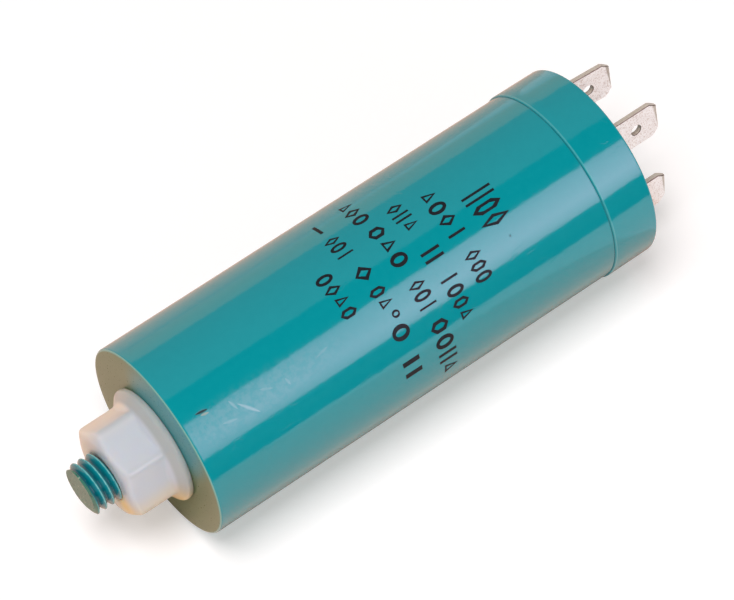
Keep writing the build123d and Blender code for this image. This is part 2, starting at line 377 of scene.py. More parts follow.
# Hairline scratches from handling: stretched noise lines, kept where a second noise is high.
scratch_group, given, made = new_group("hairline_scratches", {
    "Vector": VECTOR, "Turn": NUMBER, "Fineness": NUMBER, "Patches": NUMBER}, {"Mask": NUMBER})
SCRATCH_TURN, SCRATCH_STRETCH = (0, 0.55, 0.83), (0.03, 1.0, 1.0)
LINE_EDGE, PATCH_EDGE = (0.0, 0.02), (0.56, 0.64)
turned_vector = add_node(scratch_group, "ShaderNodeVectorRotate", {
    "Vector": given.outputs["Vector"], "Angle": given.outputs["Turn"], "Axis": SCRATCH_TURN},
    rotation_type="AXIS_ANGLE").outputs[0]
stretched = vector_maths(scratch_group, "MULTIPLY", turned_vector, SCRATCH_STRETCH)
lines = noise(scratch_group, stretched, given.outputs["Fineness"], detail=0.0)
patch = noise(scratch_group, given.outputs["Vector"], given.outputs["Patches"], detail=1.0)
off_line = maths(scratch_group, "ABSOLUTE", maths(scratch_group, "SUBTRACT", lines, 0.5))
scratch_group.links.new(maths(scratch_group, "MULTIPLY", place_mask(scratch_group, off_line, *LINE_EDGE),
                              past_mask(scratch_group, patch, *PATCH_EDGE)), made.inputs["Mask"])


def use_group(tree, group, **inputs):
    node = tree.nodes.new("ShaderNodeGroup")
    node.node_tree = group
    for name, value in inputs.items():
        socket = node.inputs[name.replace("_", " ")]
        if isinstance(value, bpy.types.NodeSocket):
            tree.links.new(value, socket)
        else:
            socket.default_value = value
    return node


def near_place(tree, where, centre, half, soft=0.5):
    """1 at the middle of a small ellipsoid, falling to 0 at its surface."""
    off = vector_maths(tree, "DIVIDE", vector_maths(tree, "SUBTRACT", where, centre), half)
    return place_mask(tree, vector_maths(tree, "LENGTH", off), soft, 1.0)


# A straight scratch or scuff from Start to End, which narrows to both ends.
stroke_group, given, made = new_group("stroke_mark", {
    "Vector": VECTOR, "Start": VECTOR, "End": VECTOR, "Width": NUMBER}, {"Mask": NUMBER})
STROKE_FULLNESS, STROKE_EDGE = 1.1, (0.1, 1.0)
from_start = vector_maths(stroke_group, "SUBTRACT", given.outputs["Vector"], given.outputs["Start"])
span = vector_maths(stroke_group, "SUBTRACT", given.outputs["End"], given.outputs["Start"])
reach = maths(stroke_group, "DIVIDE", vector_maths(stroke_group, "DOT_PRODUCT", from_start, span),
              vector_maths(stroke_group, "DOT_PRODUCT", span, span))
reach = maths(stroke_group, "MINIMUM", maths(stroke_group, "MAXIMUM", reach, 0.0), 1.0)
foot = add_node(stroke_group, "ShaderNodeVectorMath", {0: span, "Scale": reach},
                operation="SCALE").outputs[0]
aside = vector_maths(stroke_group, "LENGTH", vector_maths(stroke_group, "SUBTRACT", from_start, foot))
off_middle = ramp(stroke_group, reach, 2.0, -1.0)
belly = maths(stroke_group, "SUBTRACT", STROKE_FULLNESS,
              maths(stroke_group, "MULTIPLY", off_middle, off_middle))
half = maths(stroke_group, "MULTIPLY", given.outputs["Width"], belly)
stroke_group.links.new(place_mask(stroke_group, maths(stroke_group, "DIVIDE", aside, half), *STROKE_EDGE),
                       made.inputs["Mask"])


def strokes_mask(tree, where, strokes):
    """The marks of several strokes, each given as start, end, width and strength."""
    whole = 0.0
    for start, end, width, strength in strokes:
        mark = use_group(tree, stroke_group, Vector=where, Start=start, End=end, Width=width).outputs[0]
        whole = maths(tree, "MAXIMUM", maths(tree, "MULTIPLY", mark, strength), whole)
    return whole


def kept_value(tree, name):
    """A value that the thread's tree has stored on the mesh."""
    return add_node(tree, "ShaderNodeAttribute", attribute_name=name).outputs["Fac"]


# Each mark is its start, its end and its width, in metres, and its strength.
NICKS = (((0.0026, -0.00624, 0.01364), (0.0045, -0.00645, 0.01354), 0.00031, 1.0),
         ((0.05462, -0.00882, 0.01213), (0.0549, -0.00884, 0.01212), 0.0003, 0.6))
NICK_BURRS = (((0.0032, -0.00668, 0.01343), (0.0044, -0.00688, 0.01333), 0.0003, 0.5),)
SCUFFS = (((0.00845, -0.00790, 0.01275), (0.0107, -0.01000, 0.01118), 0.00034, 0.27),
          ((0.00755, -0.00704, 0.01325), (0.00812, -0.00841, 0.01242), 0.0003, 0.18),
          ((0.01606, -0.00840, 0.01242), (0.01637, -0.00934, 0.01174), 0.0003, 0.12),
          ((0.0121, -0.0079, 0.01275), (0.0139, -0.0086, 0.01229), 0.0003, 0.10),
          ((0.0052, -0.0089, 0.01208), (0.0074, -0.0093, 0.01177), 0.0003, 0.12),
          ((0.0215, -0.0084, 0.01243), (0.0236, -0.0080, 0.01269), 0.0003, 0.08))
HIGHLIGHT_FLECKS_AT, HIGHLIGHT_FLECKS_HALF = (0.010, -0.0084, 0.0124), (0.020, 0.0036, 0.0036)
lid_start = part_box("lid")[0].x
LIP_AT = lid_start + 0.0002
LIP_EDGE, MOTTLE_EDGE, HIGHLIGHT_FLECKS_SOFT = (0.00005, 0.00014), (0.35, 0.65), 0.3
CREST_HIGHLIGHT_SHARE, LIP_HIGHLIGHT_SHARE, MOTTLE_SHARE = 0.8, 0.5, 0.16
NICK_ROUGHNESS, SCRATCH_DEPTH = 0.8, 0.6


def moulded_teal(name, colour, pale, roughness):
    """The can's plastic: cloudy, with hairline scratches, scuffs and a nick near the shoulder, a dark
    speck, a patch of pale flecks painted into the band's highlight near the shoulder, painted shade
    in the thread's grooves, a painted highlight on its crests and a painted highlight just past where
    the lid begins."""
    material, tree = empty_material(name)
    where = add_node(tree, "ShaderNodeTexCoord").outputs["Object"]
    skin = use_group(tree, skin_group, Vector=where, Colour=colour, Pale=pale, Cloud_Scale=900.0,
                     Peel_Scale=2200.0, Roughness=roughness, Roughness_Swing=0.06)
    scratches = use_group(tree, scratch_group, Vector=where, Turn=0.9, Fineness=500.0, Patches=110.0)
    # Pale flecks are painted into a patch near the shoulder, where they mottle the band's highlight.
    highlight_flecks = near_place(tree, where, HIGHLIGHT_FLECKS_AT, HIGHLIGHT_FLECKS_HALF, HIGHLIGHT_FLECKS_SOFT)
    mottle = past_mask(tree, noise(tree, where, scale=1300.0, detail=3.0), *MOTTLE_EDGE)
    nick = strokes_mask(tree, where, NICKS)
    along = add_node(tree, "ShaderNodeSeparateXYZ", {0: where}).outputs[0]
    # A thin painted highlight lies on the lid's front edge, just past where the lid begins.
    lip_highlight = place_mask(tree, maths(tree, "ABSOLUTE", maths(tree, "SUBTRACT", along, LIP_AT)), *LIP_EDGE)
    # Painted shade darkens the thread's grooves, and a painted highlight runs along its crests.
    colour = mixed(tree, kept_value(tree, "groove"), skin.outputs["Colour"], GROOVE_PAINTED_SHADE)
    crest = maths(tree, "MULTIPLY", kept_value(tree, "crest"), CREST_HIGHLIGHT_SHARE)
    colour = mixed(tree, crest, colour, CREST_PAINTED_HIGHLIGHT)
    colour = mixed(tree, maths(tree, "MULTIPLY", lip_highlight, LIP_HIGHLIGHT_SHARE), colour, LIP_PAINTED_HIGHLIGHT)
    mottle = maths(tree, "MULTIPLY", mottle, MOTTLE_SHARE)
    colour = mixed(tree, maths(tree, "MULTIPLY", mottle, highlight_flecks), colour, HIGHLIGHT_FLECK_PALE)
    colour = mixed(tree, strokes_mask(tree, where, SCUFFS), colour, SCUFF_WHITE)
    colour = mixed(tree, strokes_mask(tree, where, NICK_BURRS), colour, BURR_TAN)
    colour = mixed(tree, nick, colour, NICK_DARK)
    rough = ramp(tree, nick, NICK_ROUGHNESS, skin.outputs["Roughness"])
    marks = ramp(tree, scratches.outputs[0], SCRATCH_DEPTH, nick)
    height = maths(tree, "SUBTRACT", skin.outputs["Height"], marks)
    show(tree, add_node(tree, "ShaderNodeBsdfPrincipled", {
        "Base Color": colour, "Roughness": rough, "IOR": 1.65,
        "Sheen Weight": 0.35, "Sheen Roughness": 0.3, "Sheen Tint": GRAZE_TAN,
        "Normal": bumped(tree, height, strength=0.10, distance=0.0001)}))
    return material


teal = moulded_teal("teal_plastic", TEAL, TEAL_PALE, 0.10)
# The middle of the shoulder's rounded edge carries a painted highlight, a pale line where the edge catches
# the light.
teal_edge_highlight = moulded_teal("teal_plastic_edge_highlight", EDGE_PAINTED_HIGHLIGHT, EDGE_PAINTED_HIGHLIGHT, 0.3)

# The flat ends are painted khaki as the warm reflection they show at a grazing angle, going
# back to teal beside the nut, painted where the flange blocks that reflection.  The stud's end
# takes a greener painted reflection and is pitted; it is told from the shoulder by its x, in metres.
TIP_PAINTED_REFLECTION, PIT_DARK, PIT_PALE = (0.045, 0.175, 0.11, 1), (0.03, 0.06, 0.05, 1), (0.42, 0.47, 0.38, 1)
FLANGE_BLOCKED_AT, FLANGE_BLOCKED_HALF = (0.0, -0.003, 0.0095), (0.01, 0.0105, 0.0095)
FLANGE_BLOCKED_SOFT, FLANGE_BLOCKED_SHARE, PAINTED_REFLECTION_SHARE = 0.55, 0.72, 0.88
TIP_EDGE, DARK_PIT_EDGE, PALE_PIT_EDGE = (-0.0110, -0.0090), (0.30, 0.37), (0.64, 0.74)
PIT_DEPTH = 2.0
end_teal, tree = empty_material("teal_plastic_ends")
where = add_node(tree, "ShaderNodeTexCoord").outputs["Object"]
skin = use_group(tree, skin_group, Vector=where, Colour=TEAL, Pale=TEAL_PALE, Cloud_Scale=300.0,
                 Peel_Scale=2600.0, Roughness=0.3, Roughness_Swing=0.15)
flange_blocked = maths(tree, "MULTIPLY", near_place(tree, where, FLANGE_BLOCKED_AT, FLANGE_BLOCKED_HALF, FLANGE_BLOCKED_SOFT), FLANGE_BLOCKED_SHARE)
on_tip = place_mask(tree, add_node(tree, "ShaderNodeSeparateXYZ", {0: where}).outputs[0], *TIP_EDGE)
pits = noise(tree, where, scale=1900.0, detail=2.0)
dark_pits = maths(tree, "MULTIPLY", on_tip, place_mask(tree, pits, *DARK_PIT_EDGE))
pale_pits = maths(tree, "MULTIPLY", on_tip, past_mask(tree, pits, *PALE_PIT_EDGE))
# The film is painted reflection: khaki on the flat ends, greener on the stud's end, and less of it where
# the flange blocks the reflection.
film = mixed(tree, on_tip, KHAKI_PAINTED_REFLECTION, TIP_PAINTED_REFLECTION)
colour = mixed(tree, maths(tree, "SUBTRACT", PAINTED_REFLECTION_SHARE, flange_blocked), skin.outputs["Colour"], film)
colour = mixed(tree, dark_pits, colour, PIT_DARK)
colour = mixed(tree, pale_pits, colour, PIT_PALE)
height = maths(tree, "SUBTRACT", skin.outputs["Height"], maths(tree, "MULTIPLY", dark_pits, PIT_DEPTH))
show(tree, add_node(tree, "ShaderNodeBsdfPrincipled", {
    "Base Color": colour, "Roughness": skin.outputs["Roughness"], "IOR": 1.6,
    "Normal": bumped(tree, height, strength=0.15, distance=0.0001)}))

STUD_RADIUS, STUD_LENGTH, TIP_CHAMFER, ROOT_FILLET = 3.9, 12.9, 0.25, 0.3
FILLET_IN, FILLET_OUT = 0.12, 0.09          # one place on the root fillet
BODY_RADIUS, BODY_LENGTH, WALL, FLOOR_THICKNESS = 15.0, 69.3, 1.9, 3.0
EDGE_RADIUS, SEAM_CHAMFER, RIM_REBATE, CAVITY_FILLET = 0.4, 0.1, 1.0, 0.8
rim_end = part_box("housing")[1].x / MM
cavity = BODY_RADIUS - WALL
# The rings stand closer together on the free end of the stud than under the nut.
FINE_END, COARSE_START, SIDE_START, TIP_RING, SHOULDER_RINGS = -8.5, -8.35, 2.0, 1.5, (9.0, 12.0)
outline = [(-STUD_LENGTH, 0), (-STUD_LENGTH, TIP_RING), (-STUD_LENGTH, STUD_RADIUS - TIP_CHAMFER)]
outline += [(x, STUD_RADIUS) for x in spaced(TIP_CHAMFER - STUD_LENGTH, FINE_END, count=66)]
outline += [(x, STUD_RADIUS) for x in spaced(COARSE_START, -ROOT_FILLET, count=54)]
outline += [(-FILLET_IN, STUD_RADIUS + FILLET_OUT), (0.0, STUD_RADIUS + ROOT_FILLET)]
outline += [(0.0, radius) for radius in SHOULDER_RINGS]
outline += reversed(rounded(EDGE_RADIUS, BODY_RADIUS - EDGE_RADIUS, EDGE_RADIUS, from_turn=90))
outline += [(x, BODY_RADIUS) for x in spaced(SIDE_START, BODY_LENGTH - SEAM_CHAMFER, count=6)]
outline += [(BODY_LENGTH, BODY_RADIUS - SEAM_CHAMFER), (BODY_LENGTH, BODY_RADIUS - RIM_REBATE)]
outline += [(rim_end, BODY_RADIUS - RIM_REBATE), (rim_end, cavity)]
outline += [(FLOOR_THICKNESS + CAVITY_FILLET, cavity), (FLOOR_THICKNESS, cavity - CAVITY_FILLET)]
outline += [(FLOOR_THICKNESS, 0)]
housing = grow_mesh("housing_moulding", teal)
turn_outline(housing, outline, segments=192, crisp=40)

# Thread: every vertex of the stud's side is drawn in by the depth of the groove at its place.
THREAD_PITCH, THREAD_DEPTH, CREST_AT_TOP = 1.25, 0.72, -9.39
FLANK, CREST_WIDTH = (0.1, 0.9), 0.13       # shares of the way from a crest to a root
RUN_IN, RUN_OUT = 0.2, 1.2
thread, given, made = new_group("stud_thread", {
    "Geometry": GEOMETRY, "Pitch": NUMBER, "Depth": NUMBER, "Crest": NUMBER, "Tip": NUMBER,
    "Root": NUMBER, "Inmost": NUMBER, "Outmost": NUMBER, "Material": MATERIAL},
    {"Geometry": GEOMETRY}, "GeometryNodeTree")


def compared(tree, first, operation, second):
    return add_node(tree, "FunctionNodeCompare", {0: first, 1: second},
                    data_type="FLOAT", operation=operation).outputs[0]


def also(tree, first, second):
    return add_node(tree, "FunctionNodeBooleanMath", {0: first, 1: second}, operation="AND").outputs[0]


pitch, depth, crest_at = [given.outputs[name] for name in ("Pitch", "Depth", "Crest")]
tip, root = given.outputs["Tip"], given.outputs["Root"]
position = add_node(thread, "GeometryNodeInputPosition").outputs[0]
x, y, z = add_node(thread, "ShaderNodeSeparateXYZ", {0: position}).outputs
radius = from_axis(thread, y, z)
turn = maths(thread, "DIVIDE", maths(thread, "ARCTAN2", z, y), 2 * math.pi)
along = maths(thread, "DIVIDE", maths(thread, "SUBTRACT", x, crest_at), pitch)
phase = maths(thread, "FRACT", maths(thread, "SUBTRACT", along, turn))
nearest = maths(thread, "MINIMUM", phase, maths(thread, "SUBTRACT", 1.0, phase))
from_crest = maths(thread, "MULTIPLY", 2.0, nearest)
flank = graded(thread, from_crest, *FLANK)
run_in = graded(thread, x, tip, maths(thread, "ADD", tip, RUN_IN * MM))
run_out = graded(thread, x, maths(thread, "SUBTRACT", root, RUN_OUT * MM), root, start=1.0, end=0.0)
fullness = maths(thread, "MULTIPLY", run_in, run_out)
cut = maths(thread, "MULTIPLY", maths(thread, "MULTIPLY", flank, depth), fullness)
share = maths(thread, "DIVIDE", maths(thread, "SUBTRACT", radius, cut), radius)
moved = add_node(thread, "ShaderNodeCombineXYZ", {0: x, 1: maths(thread, "MULTIPLY", y, share),
                                                  2: maths(thread, "MULTIPLY", z, share)})
on_side = also(thread, compared(thread, radius, "GREATER_THAN", given.outputs["Inmost"]),
               compared(thread, radius, "LESS_THAN", given.outputs["Outmost"]))
chosen = also(thread, on_side, compared(thread, x, "LESS_THAN", root))
threaded = maths(thread, "MULTIPLY", fullness, chosen)
groove = maths(thread, "MULTIPLY", flank, threaded)
crest = maths(thread, "MULTIPLY", maths(thread, "LESS_THAN", from_crest, CREST_WIDTH), threaded)
# The groove's depth and the crest are stored for the can's material, which paints shade in the groove and a
# highlight on the crest.
marked = given.outputs["Geometry"]
for name, value in (("groove", groove), ("crest", crest)):
    marked = add_node(thread, "GeometryNodeStoreNamedAttribute", {
        "Geometry": marked, "Name": name, "Value": value}, data_type="FLOAT", domain="POINT").outputs[0]
cut_stud = add_node(thread, "GeometryNodeSetPosition", {"Geometry": marked, "Selection": chosen,
                                                        "Position": moved.outputs[0]})
real = add_node(thread, "GeometryNodeRealizeInstances", {"Geometry": cut_stud.outputs[0]})
dressed = add_node(thread, "GeometryNodeSetMaterial", {"Geometry": real.outputs[0],
                                                       "Material": given.outputs["Material"]})
thread.links.new(dressed.outputs[0], made.inputs[0])


def run_tree(piece, group, values):
    """Runs a Geometry Nodes tree on the piece and keeps its result as the piece's plain mesh."""
    modifier = piece.modifiers.new(group.name, "NODES")
    modifier.node_group = group
    for item in group.interface.items_tree:
        if item.in_out == "INPUT" and item.name in values:
            modifier[item.identifier] = values[item.name]
    grown = piece.evaluated_get(bpy.context.evaluated_depsgraph_get())
    result = bpy.data.meshes.new_from_object(grown)
    piece.modifiers.remove(modifier)
    piece.data = result


# What lies between Inmost and Outmost from the axis is drawn in.
JUST_UNDER, WELL_OVER = 0.99, 1.2
helix = {"Pitch": THREAD_PITCH * MM, "Depth": THREAD_DEPTH * MM, "Crest": CREST_AT_TOP * MM,
         "Tip": (TIP_CHAMFER - STUD_LENGTH) * MM, "Root": -ROOT_FILLET * MM,
         "Inmost": JUST_UNDER * STUD_RADIUS * MM}
# The thread runs out through the stud's end, whose chamfered ring is drawn in with it.
run_tree(housing, thread, {
    **helix, "Tip": -2 * STUD_LENGTH * MM, "Inmost": (STUD_RADIUS - 2 * TIP_CHAMFER) * MM,
    "Outmost": WELL_OVER * STUD_RADIUS * MM, "Material": teal})
# The flat ends take the painted khaki reflection, and the middle of the shoulder's rounded edge
# takes a painted highlight.
END_FLATNESS, EDGE_TURN = 0.98, (0.55, 0.9)     # how far a face looks along -X
SHOULDER_SLACK, TIP_PAINTED_REFLECTION_END = 0.1, -12.6
housing.data.materials.append(end_teal)
housing.data.materials.append(teal_edge_highlight)
for face in housing.data.polygons:
    x, facing = face.center.x / MM, -face.normal.x
    radius = math.hypot(face.center.y, face.center.z) / MM
    if facing > END_FLATNESS and x < SHOULDER_SLACK or x < TIP_PAINTED_REFLECTION_END:
        face.material_index = 1
    elif EDGE_TURN[0] < facing < EDGE_TURN[1] and radius > BODY_RADIUS - EDGE_RADIUS:
        face.material_index = 2
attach(housing, "root")
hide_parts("housing")


# ---- Lid -----------------------------------------------------------------------------------
# A cap of the same plastic, pressed over the rim of the can; its skirt stands a little proud
# at the seam and tapers to the end, where a shallow recess holds the two terminals.

def smooth_copy(node, name, material, crisp):
    """A merged copy of a CAD node's mesh, smooth except at its crisp edges."""
    piece = grow_mesh(name, material)
    shape = bmesh.new()
    shape.from_mesh(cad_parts[node].data)
    bmesh.ops.remove_doubles(shape, verts=shape.verts, dist=2e-7)
    smooth_by_angle(shape, crisp)
    shape.to_mesh(piece.data)
    shape.free()
    for face in piece.data.polygons:
        face.material_index = 0
    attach(piece, "root")
    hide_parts(node)
    return piece


lid = smooth_copy("lid", "lid_moulding", teal, crisp=35)


# ---- Mounting nut --------------------------------------------------------------------------
# A flanged hexagon nut moulded in natural nylon, milky and a little see-through at its edges,
# run up the stud against the shoulder of the can.

NYLON_COOL, NYLON_MILKY = (0.585, 0.605, 0.67, 1), (0.63, 0.645, 0.70, 1)
NYLON_PAINTED_GLOW_WARM, NYLON_PAINTED_GLOW_CREAM = (0.72, 0.62, 0.50, 1), (0.92, 0.77, 0.66, 1)
NYLON_PAINTED_GLOW_AMBER = (0.97, 0.62, 0.18, 1)
FLANGE_PAINTED_SHADE, SHEEN_WARM = (0.74, 0.75, 0.69), (0.9, 0.6, 0.45, 1)
# Where each painted glow and the painted shade begin and end, in metres: out from the axis, to
# the side, and by height.
FLANGE_RIM, CREAM_GLOW_BESIDE = (0.0073, 0.0080), (0.0005, 0.0062)
WARM_GLOW_BELOW, CREAM_GLOW_BELOW, RIM_LOSS = (-0.0015, 0.0025), (-0.0045, -0.0015), 0.7
AMBER_GLOW_PLACES = (((-0.0090, -0.0044, -0.0022), (0.0030, 0.0034, 0.0034)),
                ((-0.0012, -0.0070, -0.0054), (0.0026, 0.0060, 0.0060)))
nylon, tree = empty_material("natural_nylon")
where = add_node(tree, "ShaderNodeTexCoord").outputs["Object"]
skin = use_group(tree, skin_group, Vector=where, Colour=NYLON_COOL, Pale=NYLON_MILKY,
                 Cloud_Scale=160.0, Peel_Scale=1200.0, Roughness=0.42, Roughness_Swing=0.1)
x, y, z = add_node(tree, "ShaderNodeSeparateXYZ", {0: where}).outputs
rim = past_mask(tree, from_axis(tree, y, z), *FLANGE_RIM)
# Light shining through the nylon is painted in: warm below the nut, and cream below and beside it.
colour = mixed(tree, place_mask(tree, z, *WARM_GLOW_BELOW), skin.outputs["Colour"], NYLON_PAINTED_GLOW_WARM)
below = place_mask(tree, z, *CREAM_GLOW_BELOW)
beside = maths(tree, "SUBTRACT", past_mask(tree, y, *CREAM_GLOW_BESIDE), maths(tree, "MULTIPLY", rim, RIM_LOSS))
colour = mixed(tree, maths(tree, "MAXIMUM", below, beside), colour, NYLON_PAINTED_GLOW_CREAM)
# The flange's rim is darkened as painted shade.
colour = mixed(tree, rim, colour, vector_maths(tree, "MULTIPLY", colour, FLANGE_PAINTED_SHADE))
# An amber glow is painted at the stud's exit and under the flange, where light shines through.
for centre, half in AMBER_GLOW_PLACES:
    colour = mixed(tree, near_place(tree, where, centre, half, soft=0.0), colour, NYLON_PAINTED_GLOW_AMBER)
show(tree, add_node(tree, "ShaderNodeBsdfPrincipled", {
    "Base Color": colour, "Roughness": skin.outputs["Roughness"], "IOR": 1.53,
    "Subsurface Weight": 0.5, "Subsurface Radius": (1.0, 0.6, 0.35), "Subsurface Scale": 0.002,
    "Coat Weight": 0.5, "Coat Roughness": 0.12,
    "Sheen Weight": 0.2, "Sheen Roughness": 0.4, "Sheen Tint": SHEEN_WARM,
    "Normal": bumped(tree, skin.outputs["Height"], strength=0.15, distance=0.0002)}))
nut = smooth_copy("mounting_nut", "flanged_nut", nylon, crisp=180)
remesh = nut.modifiers.new("fine_skin", "REMESH")
remesh.mode = "VOXEL"
remesh.voxel_size = 0.16 * MM
remesh.use_smooth_shade = True
fine = bpy.data.meshes.new_from_object(nut.evaluated_get(bpy.context.evaluated_depsgraph_get()))
nut.modifiers.clear()
nut.data = fine
# The bore is drawn in along the same helix as the stud's groove.  The mould's rounding then eases
# every corner but those of the bore and the seating face.
BORE_WALL, BORE_EDGE = 4.05, 4.35
EASING = ((-0.15, 7), (-2.9, 19))           # rounds beyond the seat, then beyond the flange
run_tree(nut, thread, {**helix, "Outmost": BORE_WALL * MM, "Material": nylon})
shape = bmesh.new()
shape.from_mesh(nut.data)
for end, rounds in EASING:
    eased = [v for v in shape.verts
             if v.co.x < end * MM and math.hypot(v.co.y, v.co.z) > BORE_EDGE * MM]
    for _ in range(rounds):
        bmesh.ops.smooth_vert(shape, verts=eased, factor=0.5,
                              use_axis_x=True, use_axis_y=True, use_axis_z=True)
shape.to_mesh(nut.data)
shape.free()


# ---- Terminals and rivets ------------------------------------------------------------------
# Two double blades stamped and bent from tinned brass strip, each clinched to the lid by a
# tinned rivet.  The sheared edges show darker, the narrow flats on the sharp edges are painted dark
# brown as edge shade, and the faces have the grain of the rolled strip.

GRAIN_STRETCH, SPECK_EDGE, SPECK_SHARE = (0.3, 1.0, 1.0), (0.34, 0.52), 0.55


def tinned(name, pale, dark, speckle, scale, metallic):
    """Dull tin over stamped metal: rolled grain along X, blotches and fine brown specks."""
    material, tree = empty_material(name)
    where = add_node(tree, "ShaderNodeTexCoord").outputs["Object"]
    grain = noise(tree, vector_maths(tree, "MULTIPLY", where, GRAIN_STRETCH), scale, detail=3.0)
    blotch = noise(tree, where, scale=700.0, detail=4.0)
    specks = noise(tree, where, scale=4600.0, detail=2.0)
    speckled = maths(tree, "MULTIPLY", place_mask(tree, specks, *SPECK_EDGE), SPECK_SHARE)
    show(tree, add_node(tree, "ShaderNodeBsdfPrincipled", {
        "Base Color": mixed(tree, speckled, mixed(tree, blotch, pale, dark), speckle),
        "Roughness": graded(tree, grain, low=0.3, high=0.7, start=0.3, end=0.5), "Metallic": metallic,
        "Normal": bumped(tree, maths(tree, "ADD", grain, specks), strength=0.3, distance=0.00005)}))
    return material


SHEET, SHEET_SLACK = 0.8, 0.15
ARRIS, ARRIS_ANGLE, FLAT_ANGLE = 0.12, 40, 1.0
JUST_INSIDE = 0.01


def finish_stamping(piece, arris_shade_metal, edge_metal):
    """Takes a narrow flat off every sharp edge, painted dark as edge shade, and tells sheared edges
    from the sheet's faces, which have their backs one sheet thickness away."""
    piece.data.materials.append(arris_shade_metal)
    piece.data.materials.append(edge_metal)
    shape = bmesh.new()
    shape.from_mesh(piece.data)
    bmesh.ops.dissolve_limit(shape, angle_limit=math.radians(FLAT_ANGLE), verts=shape.verts,
                             edges=shape.edges)
    sharp = [e for e in shape.edges
             if e.is_manifold and e.calc_face_angle(0) > math.radians(ARRIS_ANGLE)]
    cut = bmesh.ops.bevel(shape, geom=sharp, offset=ARRIS * MM, segments=1, affect="EDGES", profile=0.5,
                          clamp_overlap=True)
    for face in cut["faces"]:
        face.material_index = 1
    smooth_by_angle(shape, degrees=20)
    bmesh.ops.triangulate(shape, faces=shape.faces)
    solid = BVHTree.FromBMesh(shape)
    for face in shape.faces:
        if face.material_index == 0:
            start = face.calc_center_median() - face.normal * JUST_INSIDE * MM
            back = solid.ray_cast(start, -face.normal)[3]
            if back is None or abs(back / MM - SHEET) > SHEET_SLACK:
                face.material_index = 2
    shape.to_mesh(piece.data)
    shape.free()


blade_tin = tinned("tinned_blade_metal", pale=(0.95, 0.915, 0.91, 1), dark=(0.86, 0.80, 0.775, 1),
                   speckle=(0.55, 0.41, 0.35, 1), scale=2500.0, metallic=0.9)
edge_tin = tinned("sheared_edge_metal", pale=(0.70, 0.61, 0.53, 1), dark=(0.56, 0.47, 0.40, 1),
                  speckle=(0.45, 0.33, 0.27, 1), scale=2500.0, metallic=0.1)
rivet_tin = tinned("tinned_rivet_metal", pale=(0.86, 0.81, 0.76, 1), dark=(0.6, 0.53, 0.48, 1),
                   speckle=(0.35, 0.26, 0.21, 1), scale=1800.0, metallic=0.8)
# The narrow flats on the blades' sharp edges are painted dark brown as edge shade.
arris_painted_shade = tinned("arris_painted_shade_metal", pale=(0.20, 0.13, 0.10, 1), dark=(0.11, 0.07, 0.055, 1),
                    speckle=(0.05, 0.03, 0.025, 1), scale=2500.0, metallic=0.5)
for node in ("terminal_a", "terminal_b"):
    blade = smooth_copy(node, node + "_blades", blade_tin, crisp=30)
    finish_stamping(blade, arris_painted_shade, edge_tin)
for node in ("rivet_a", "rivet_b"):
    head = smooth_copy(node, node + "_metal", rivet_tin, crisp=40)


# ---- Printed rating ------------------------------------------------------------------------
# Black pad print on the side of the can, in six rows that run round it.  Its words are kept as
# rows of plain shapes of the same size and weight, with no lettering.

INK_BLACK, INK_GREY = (0.004, 0.006, 0.010, 1), (0.022, 0.024, 0.030, 1)
ink, tree = empty_material("black_ink")
where = add_node(tree, "ShaderNodeTexCoord").outputs["Object"]
cloud = noise(tree, where, scale=1400.0, detail=3.0)
show(tree, add_node(tree, "ShaderNodeBsdfPrincipled", {
    "Base Color": mixed(tree, cloud, INK_BLACK, INK_GREY), "Roughness": 0.5, "IOR": 1.3,
    "Normal": bumped(tree, cloud, strength=0.2, distance=0.00002)}))

INK_LIFT = 0.025
INK_FILL = 0.8              # share of its place in the row that a shape fills
STROKE, BAR_HEIGHT, TWIN_SHIFT = 0.19, 0.22, 0.3        # shares of a shape's size
INNER_LOSS = (2.0, 3.0)     # strokes that an inner line is short of its outline, up and across
SHAPES = ("ring", "triangle", "diamond", "hexagon", "bar", "twin_bars", "block")
# Each run of print: lower edge and height along the can in mm, from and to in degrees, its shapes.
PRINT_RUNS = [
    (51.7, 4.9, 94.2, 118.2, "twin_bars hexagon diamond"),
    (46.9, 2.8, 79.2, 113.6, "triangle ring diamond bar"),
    (47.1, 2.8, 120.6, 140.1, "diamond hexagon ring"),
    (42.2, 2.7, 74.6, 95.2, "diamond twin_bars triangle"), (42.0, 3.1, 107.0, 116.6, "twin_bars"),
    (42.4, 2.8, 123.6, 153.4, "bar ring hexagon triangle"),
    (37.7, 2.6, 51.0, 75.4, "triangle diamond ring"), (37.8, 2.7, 79.9, 109.4, "hexagon triangle ring"),
    (37.8, 2.8, 118.0, 136.7, "diamond ring bar"),
    (38.0, 3.0, 142.0, 184.0, "hexagon ring twin_bars triangle"),
    (33.4, 0.5, 53.4, 65.3, "block"), (32.3, 2.6, 70.4, 88.6, "diamond ring bar"),
    (32.4, 2.8, 94.6, 106.0, "diamond"), (32.5, 2.7, 109.2, 123.3, "hexagon triangle"),
    (33.9, 1.2, 124.8, 130.4, "ring"), (32.5, 2.8, 132.2, 143.6, "ring"),
    (32.3, 2.8, 152.0, 168.8, "twin_bars"), (27.4, 2.7, 88.0, 117.4, "ring diamond triangle hexagon"),
]


